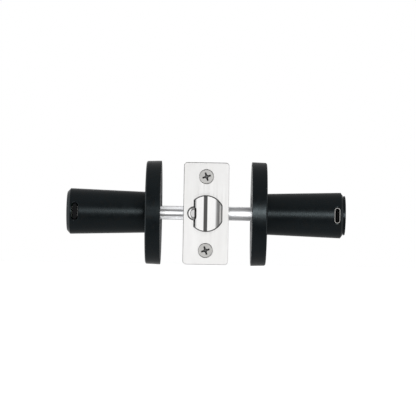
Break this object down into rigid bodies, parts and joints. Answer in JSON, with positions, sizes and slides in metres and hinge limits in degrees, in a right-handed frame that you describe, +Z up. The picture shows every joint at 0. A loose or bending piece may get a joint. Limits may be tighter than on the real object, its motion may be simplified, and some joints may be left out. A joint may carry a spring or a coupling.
{
  "type": "door knob lockset",
  "caption": "Electronic door knob set seen on its own: deadlocking tubular latch with bevelled bolt, round black roses and tapered knobs on a square spindle.",
  "frame": {"origin": "centre of the latch faceplate's front face, where the latch's centre line meets the door's edge", "axes": "+X along the knobs' common axis towards the outside of the door, +Y into the door along the latch, +Z up"},
  "size_m": [0.163, 0.1032, 0.061],
  "materials": {
    "black_coat": "satin black coat",
    "satin_steel": "fine satin",
    "bolt_chrome": "polished",
    "zinc_steel": "bright zinc plate",
    "nickel": "nickel plate",
    "spring_steel": "drawn wire",
    "sintered_steel": "sintered, oiled",
    "brass": "turned",
    "black_plastic": "fine matt",
    "gloss_black": "glossy",
    "light_plastic": "frosted light guide",
    "nylon": "natural nylon",
    "rubber": "soft black rubber",
    "board_green": "circuit board",
    "cell_wrap": "shrink wrap",
    "lead_red": "insulated lead"
  },
  "bodies": {
    "door_fixed": {"faceplate": "satin_steel", "backing_plate": "zinc_steel", "faceplate_screws": "nickel", "latch_tube": "zinc_steel", "bolt_guide": "black_plastic", "spring_seat": "zinc_steel", "latch_case": "zinc_steel", "case_cover": "zinc_steel", "case_rivets": "nickel", "mounting_posts": "zinc_steel", "through_bolts": "zinc_steel", "inside_rose": "black_coat", "inside_plate": "black_coat", "inside_grub_screw": "black_coat", "outside_rose": "black_coat", "outside_plate": "black_coat", "outside_grub_screw": "black_coat", "inside_return_spring": "spring_steel", "outside_return_spring": "spring_steel", "bolt_spring": "spring_steel", "plunger_spring": "spring_steel"},
    "inside_knob": {"inside_knob": "black_coat", "inside_end_cap": "black_coat", "inside_board": "board_green", "battery_cell": "cell_wrap", "battery_carrier": "black_plastic", "battery_contacts": "nickel", "inside_port_shell": "nickel", "inside_port_tongue": "black_plastic", "inside_sleeve": "sintered_steel", "inside_retaining_ring": "spring_steel", "inside_knob_screws": "zinc_steel", "spindle": "zinc_steel", "hub": "sintered_steel", "clutch_disc": "sintered_steel", "power_lead": "lead_red", "button_dome": "spring_steel"},
    "outside_knob": {"outside_knob": "black_coat", "outside_end_cap": "black_coat", "fingerprint_sensor": "gloss_black", "light_ring": "light_plastic", "outside_board": "board_green", "clutch_motor": "nickel", "motor_bracket": "black_plastic", "clutch_guide": "nylon", "outside_port_shell": "nickel", "outside_port_tongue": "black_plastic", "outside_sleeve": "sintered_steel", "outside_retaining_ring": "spring_steel", "outside_knob_screws": "zinc_steel"},
    "latch_bolt": {"latch_bolt": "bolt_chrome", "retractor": "zinc_steel"},
    "deadlatch_plunger": {"deadlatch_plunger": "bolt_chrome"},
    "privacy_button": {"privacy_button": "nickel"},
    "port_plug": {"port_plug": "rubber"},
    "clutch_screw": {"clutch_screw": "brass"},
    "clutch_pin": {"clutch_pin": "sintered_steel"}
  },
  "joints": [
    {"name": "inside_knob_turn", "type": "hinge", "parent": "door_fixed", "child": "inside_knob", "pos_m": [0, 0.06, 0], "axis": [1, 0, 0], "range_deg": [0, 75], "deforming": ["inside_return_spring"]},
    {"name": "outside_knob_turn", "type": "hinge", "parent": "door_fixed", "child": "outside_knob", "pos_m": [0, 0.06, 0], "axis": [1, 0, 0], "range_deg": [0, 75], "deforming": ["outside_return_spring"]},
    {"name": "latch_bolt_slide", "type": "slide", "parent": "door_fixed", "child": "latch_bolt", "axis": [0, 1, 0], "range_m": [0, 0.01266], "stiffness_N_per_m": 400, "springref_m": -0.004, "deforming": ["bolt_spring", "plunger_spring"]},
    {"name": "deadlatch_plunger_slide", "type": "slide", "parent": "latch_bolt", "child": "deadlatch_plunger", "axis": [0, 1, 0], "range_m": [0, 0.0085], "stiffness_N_per_m": 60, "deforming": ["plunger_spring"]},
    {"name": "clutch_screw_turn", "type": "hinge", "parent": "outside_knob", "child": "clutch_screw", "pos_m": [0.04, 0.06, 0.004], "axis": [1, 0, 0], "range_deg": [0, 720]},
    {"name": "clutch_pin_slide", "type": "slide", "parent": "outside_knob", "child": "clutch_pin", "axis": [1, 0, 0], "range_m": [0, 0.0016]},
    {"name": "privacy_button_press", "type": "slide", "parent": "inside_knob", "child": "privacy_button", "axis": [1, 0, 0], "range_m": [0, 0.0008], "stiffness_N_per_m": 1500, "deforming": ["button_dome"]},
    {"name": "port_plug_pull", "type": "slide", "parent": "inside_knob", "child": "port_plug", "axis": [0, -1, 0], "range_m": [0, 0.006]}
  ],
  "couplings": [
    {"joint": "inside_knob_turn", "follows": "latch_bolt_slide", "rad_per_m": 103.38},
    {"joint": "outside_knob_turn", "follows": "latch_bolt_slide", "rad_per_m": 103.38},
    {"joint": "clutch_screw_turn", "follows": "clutch_pin_slide", "rad_per_m": 7854}
  ]
}
